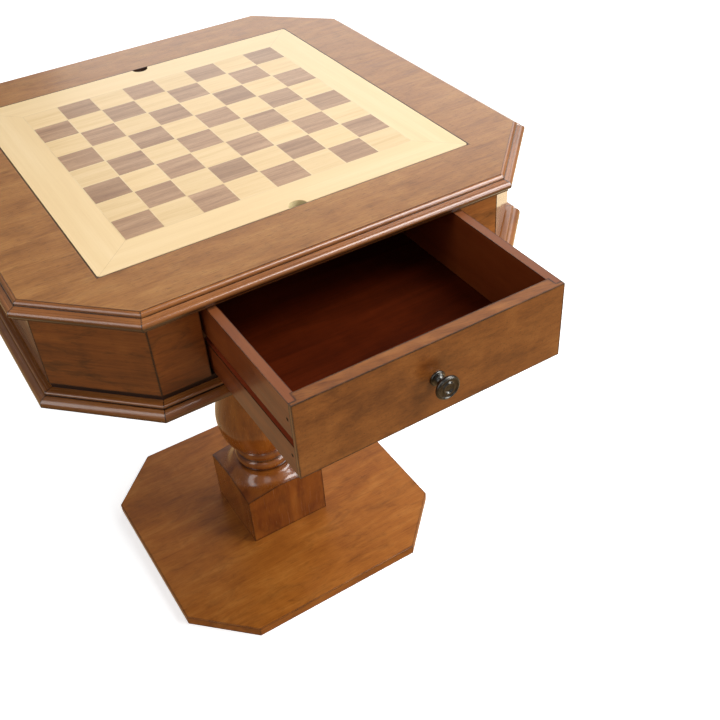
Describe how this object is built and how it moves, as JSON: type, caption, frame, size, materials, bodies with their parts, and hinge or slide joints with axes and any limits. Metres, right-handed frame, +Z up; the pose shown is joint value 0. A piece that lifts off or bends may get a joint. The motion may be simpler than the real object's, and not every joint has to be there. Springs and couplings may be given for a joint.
{
  "type": "pedestal gaming table",
  "caption": "Octagonal pedestal gaming table with a lift-out inlaid chessboard, a pull-out drawer with a turned knob, a turned column and a flat base plate.",
  "frame": {"origin": "on the floor under the centre of the base plate, which is also under the centre of the board", "axes": "+Z up, -Y is the way the drawer opens, +X to the right of someone facing the drawer"},
  "size_m": [0.71, 0.9177, 0.772],
  "materials": {
    "top_veneer_wood": "semi-gloss clear lacquer over warm cherry-brown veneer",
    "moulding_wood": "semi-gloss lacquer, worn lighter on the arrises",
    "apron_wood": "semi-gloss lacquer over red-brown wood",
    "column_wood": "glossy lacquer on turned red-brown wood",
    "base_wood": "semi-gloss lacquer, orange-brown",
    "carcase_wood": "unlacquered secondary wood, stained thinly",
    "drawer_front_wood": "semi-gloss lacquer, slanting figure",
    "drawer_side_wood": "satin lacquer",
    "drawer_bottom_wood": "satin, dark red-brown",
    "board_border_veneer": "semi-gloss, pale maple",
    "board_line_veneer": "semi-gloss, pale maple lines",
    "dark_square_veneer": "semi-gloss, walnut",
    "light_square_veneer": "semi-gloss, pale maple, a little pinker than the border",
    "board_core_wood": "raw edge under a thin stain",
    "board_backing_veneer": "plain balancing veneer",
    "knob_metal": "antique dark bronze, worn bright on the rim",
    "steel": "plain screws and brads"
  },
  "bodies": {
    "table": {"apron_back": "apron_wood", "apron_back_left": "apron_wood", "apron_back_right": "apron_wood", "apron_front_left": "apron_wood", "apron_front_of_left": "apron_wood", "apron_front_of_right": "apron_wood", "apron_front_right": "apron_wood", "apron_left": "apron_wood", "apron_right": "apron_wood", "base_plate": "base_wood", "base_screws": "steel", "bay_side_left": "carcase_wood", "bay_side_right": "carcase_wood", "board_bed": "carcase_wood", "case_deck": "carcase_wood", "cleat_screws": "steel", "column_top_screws": "steel", "drawer_runner_left": "carcase_wood", "drawer_runner_right": "carcase_wood", "drawer_stops": "carcase_wood", "glue_blocks": "carcase_wood", "lower_moulding_back": "moulding_wood", "lower_moulding_back_left": "moulding_wood", "lower_moulding_back_right": "moulding_wood", "lower_moulding_front": "moulding_wood", "lower_moulding_front_left": "moulding_wood", "lower_moulding_front_right": "moulding_wood", "lower_moulding_left": "moulding_wood", "lower_moulding_right": "moulding_wood", "pedestal_column": "column_wood", "top_cleat": "carcase_wood", "top_moulding_back": "moulding_wood", "top_moulding_back_left": "moulding_wood", "top_moulding_back_right": "moulding_wood", "top_moulding_front": "moulding_wood", "top_moulding_front_left": "moulding_wood", "top_moulding_front_right": "moulding_wood", "top_moulding_left": "moulding_wood", "top_moulding_right": "moulding_wood", "top_rail_back": "carcase_wood", "top_rail_front": "carcase_wood", "top_rail_left": "carcase_wood", "top_rail_right": "carcase_wood", "top_veneer": "top_veneer_wood"},
    "drawer": {"drawer_front": "drawer_front_wood", "drawer_side_left": "drawer_side_wood", "drawer_side_right": "drawer_side_wood", "drawer_back": "drawer_side_wood", "drawer_bottom": "drawer_bottom_wood", "drawer_knob": "knob_metal", "knob_bolt": "steel", "drawer_brads": "steel"},
    "game_board": {"board_core": "board_core_wood", "board_backing": "board_backing_veneer", "board_border": "board_border_veneer", "board_stringing": "board_line_veneer", "squares_dark": "dark_square_veneer", "squares_light": "light_square_veneer"}
  },
  "joints": [
    {"name": "drawer_slide", "type": "slide", "parent": "table", "child": "drawer", "axis": [0, -1, 0], "range_m": [-0.204, 0.08]},
    {"name": "board_lift", "type": "slide", "parent": "table", "child": "game_board", "axis": [0, 0, 1], "range_m": [0, 0.06]}
  ]
}
